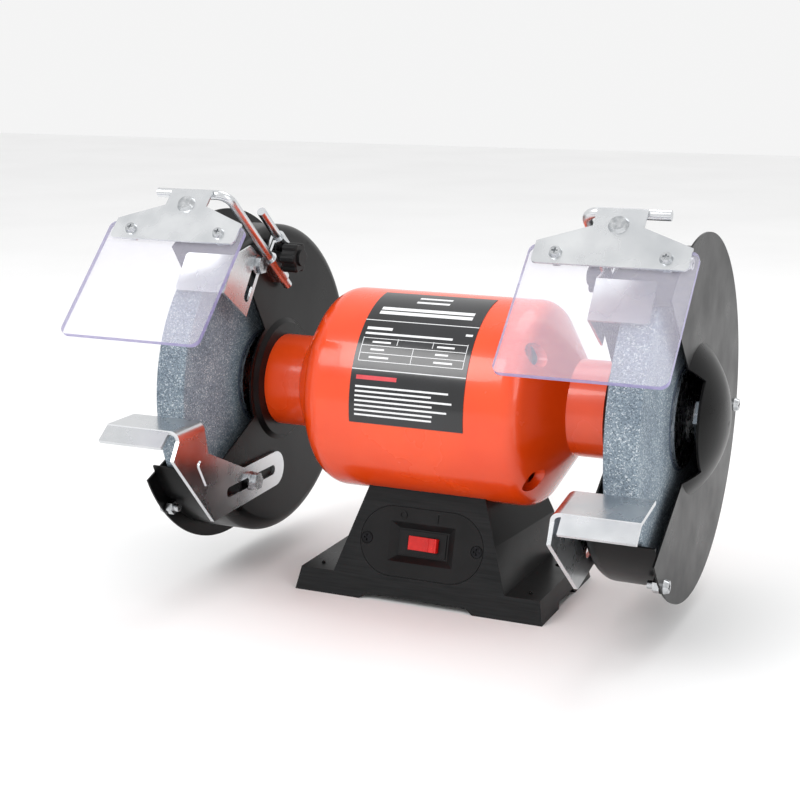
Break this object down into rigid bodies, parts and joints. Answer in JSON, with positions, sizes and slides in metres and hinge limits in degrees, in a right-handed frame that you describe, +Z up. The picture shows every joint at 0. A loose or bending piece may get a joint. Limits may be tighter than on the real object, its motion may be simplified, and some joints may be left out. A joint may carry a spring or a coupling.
{
  "type": "bench grinder",
  "caption": "Bench-top motor with a grinding wheel on each end of its shaft, in open-fronted guards, with adjustable tool rests, spark plates, clear eye shields and a rocker switch.",
  "frame": {"origin": "on the bench plane, midway between the two bench-bolt holes", "axes": "+X along the shaft to the operator's right, +Z up, front of the machine towards -Y"},
  "size_m": [0.3682, 0.269, 0.2604],
  "materials": {
    "black_paint": "semi-gloss black enamel",
    "black_sheet": "satin black",
    "red_paint": "gloss orange-red enamel",
    "label_film": "gloss printed film",
    "black_plastic": "fine matt black",
    "red_plastic": "glossy red",
    "blackened_screws": "black oxide",
    "grey_plastic": "satin grey",
    "cream_plastic": "satin cream",
    "zinc": "bright zinc plate",
    "zinc_fasteners": "bright zinc plate",
    "laminations": "bare lamination edges",
    "windings": "varnished copper wire",
    "shaft_steel": "turned steel",
    "bearing_steel": "ground steel",
    "blotter_paper": "plain blotting paper",
    "grit": "vitrified aluminium oxide, medium grit",
    "clear_panel": "clear polycarbonate"
  },
  "bodies": {
    "frame": {"adjuster_bolts": "zinc_fasteners", "adjuster_washers": "zinc_fasteners", "base_casting": "black_paint", "bearing_outer_rings": "bearing_steel", "bottom_plate": "black_sheet", "bottom_plate_screws": "zinc_fasteners", "cable_gland": "black_plastic", "capacitor_clamp": "zinc", "cover_nuts": "zinc_fasteners", "cover_screws": "zinc_fasteners", "guard_nuts": "zinc_fasteners", "guard_screws": "zinc_fasteners", "label_plate": "label_film", "left_end_bell": "red_paint", "left_guard_cover": "black_paint", "left_guard_shell": "black_paint", "motor_shell": "red_paint", "right_end_bell": "red_paint", "right_guard_cover": "black_paint", "right_guard_shell": "black_paint", "run_capacitor": "grey_plastic", "saddle_screws": "zinc_fasteners", "shield_clamp_bases": "zinc", "shield_clamp_strips": "zinc", "stator_core": "laminations", "switch_housing": "black_plastic", "switch_plate": "black_plastic", "switch_plate_screws": "blackened_screws", "terminal_block": "cream_plastic", "tie_bolts": "red_paint", "winding_heads": "windings"},
    "spindle": {"shaft": "shaft_steel", "rotor_core": "laminations", "bearing_inner_rings": "bearing_steel", "bearing_balls": "bearing_steel", "inner_flanges": "shaft_steel", "outer_flanges": "shaft_steel", "blotters": "blotter_paper", "left_wheel": "grit", "right_wheel": "grit", "left_arbor_nut": "zinc_fasteners", "right_arbor_nut": "zinc_fasteners"},
    "rocker": {"rocker": "red_plastic"},
    "left_rest": {"left_tool_rest": "zinc"},
    "left_arrestor": {"left_spark_arrestor": "zinc"},
    "left_rod": {"left_shield_rod": "zinc"},
    "left_shield": {"left_shield_bracket": "zinc", "left_shield_panel": "clear_panel", "left_shield_bolt": "zinc_fasteners", "left_shield_screws": "zinc_fasteners"},
    "left_knob": {"left_clamp_knob": "black_plastic"},
    "right_rest": {"right_tool_rest": "zinc"},
    "right_arrestor": {"right_spark_arrestor": "zinc"},
    "right_rod": {"right_shield_rod": "zinc"},
    "right_shield": {"right_shield_bracket": "zinc", "right_shield_panel": "clear_panel", "right_shield_bolt": "zinc_fasteners", "right_shield_screws": "zinc_fasteners"},
    "right_knob": {"right_clamp_knob": "black_plastic"}
  },
  "joints": [
    {"name": "spindle_spin", "type": "hinge", "parent": "frame", "child": "spindle", "pos_m": [0, -0.024, 0.1278], "axis": [1, 0, 0], "continuous": true},
    {"name": "rocker_tilt", "type": "hinge", "parent": "frame", "child": "rocker", "pos_m": [0, -0.06011, 0.03726], "axis": [0, 0.2607, 0.9654], "range_deg": [0, 17.4]},
    {"name": "left_rest_slide", "type": "slide", "parent": "frame", "child": "left_rest", "axis": [0, 1, 0], "range_m": [-0.028, 0.005]},
    {"name": "left_arrestor_slide", "type": "slide", "parent": "frame", "child": "left_arrestor", "axis": [0, 0.5821, 0.8131], "range_m": [-0.002, 0.023]},
    {"name": "left_rod_slide", "type": "slide", "parent": "frame", "child": "left_rod", "axis": [0, 0.7547, -0.6561], "range_m": [-0.008, 0.015]},
    {"name": "left_shield_tilt", "type": "hinge", "parent": "left_rod", "child": "left_shield", "pos_m": [-0.1362, -0.1, 0.2574], "axis": [1, 0, 0], "range_deg": [-60, 15]},
    {"name": "left_knob_turn", "type": "hinge", "parent": "frame", "child": "left_knob", "pos_m": [-0.104, -0.03442, 0.21166], "axis": [1, 0, 0], "continuous": true},
    {"name": "right_rest_slide", "type": "slide", "parent": "frame", "child": "right_rest", "axis": [0, 0.9877, 0.1564], "range_m": [-0.028, 0.005]},
    {"name": "right_arrestor_slide", "type": "slide", "parent": "frame", "child": "right_arrestor", "axis": [0, 0.5821, 0.8131], "range_m": [-0.002, 0.023]},
    {"name": "right_rod_slide", "type": "slide", "parent": "frame", "child": "right_rod", "axis": [0, 0.7547, -0.6561], "range_m": [-0.008, 0.015]},
    {"name": "right_shield_tilt", "type": "hinge", "parent": "right_rod", "child": "right_shield", "pos_m": [0.1362, -0.1, 0.2574], "axis": [1, 0, 0], "range_deg": [-60, 15]},
    {"name": "right_knob_turn", "type": "hinge", "parent": "frame", "child": "right_knob", "pos_m": [0.104, -0.03442, 0.21166], "axis": [1, 0, 0], "continuous": true}
  ]
}
